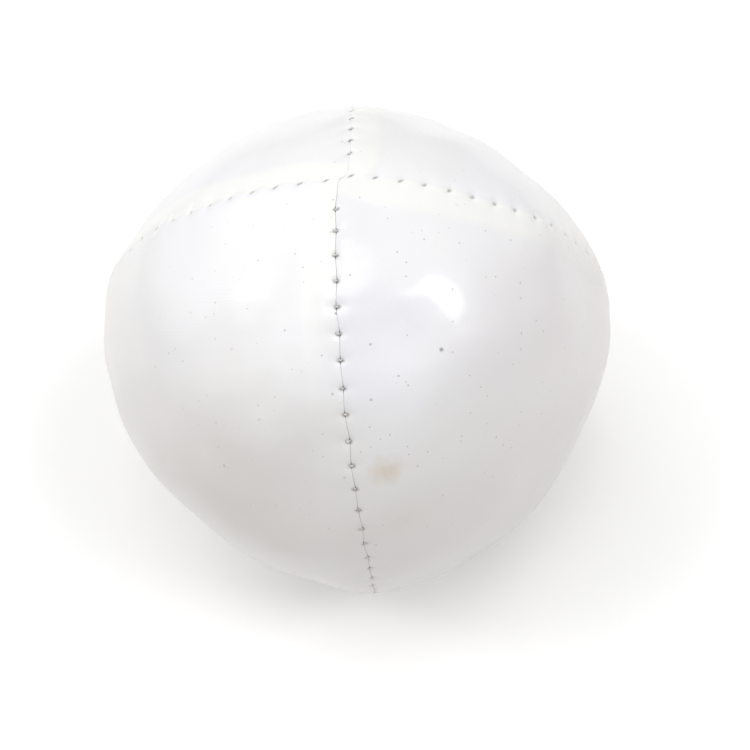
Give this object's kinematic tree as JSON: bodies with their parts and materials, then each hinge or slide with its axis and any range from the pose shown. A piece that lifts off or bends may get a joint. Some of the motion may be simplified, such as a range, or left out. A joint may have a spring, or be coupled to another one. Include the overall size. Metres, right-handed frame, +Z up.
{
  "type": "juggling ball",
  "caption": "Soft beanbag juggling ball: curved leatherette panels sewn edge to edge with lockstitched seams around a seed filling, settled flat on its underside.",
  "frame": {"origin": "middle of the flat patch that the ball rests on, under the bottom junction of the panels", "axes": "+Z up through the bottom and top junctions of the panels; the front seam faces -Y, the main seam lies in the XZ plane, +X is the right"},
  "size_m": [0.0638, 0.0638, 0.0573],
  "materials": {
    "leatherette_panels": "smooth glossy white vinyl leatherette",
    "needle_thread": "off-white polyester sewing thread",
    "bobbin_thread": "pale grey polyester sewing thread",
    "seeds": "hulled golden millet seeds"
  },
  "bodies": {
    "root": {"panel_front_left": "leatherette_panels", "panel_front_right": "leatherette_panels", "panel_back_right": "leatherette_panels", "panel_back_left": "leatherette_panels", "front_seam_needle_thread": "needle_thread", "front_seam_bobbin_thread": "bobbin_thread", "back_seam_needle_thread": "needle_thread", "back_seam_bobbin_thread": "bobbin_thread", "main_seam_needle_thread": "needle_thread", "main_seam_bobbin_thread": "bobbin_thread", "closing_thread": "needle_thread", "seed_filling": "seeds"}
  },
  "joints": []
}
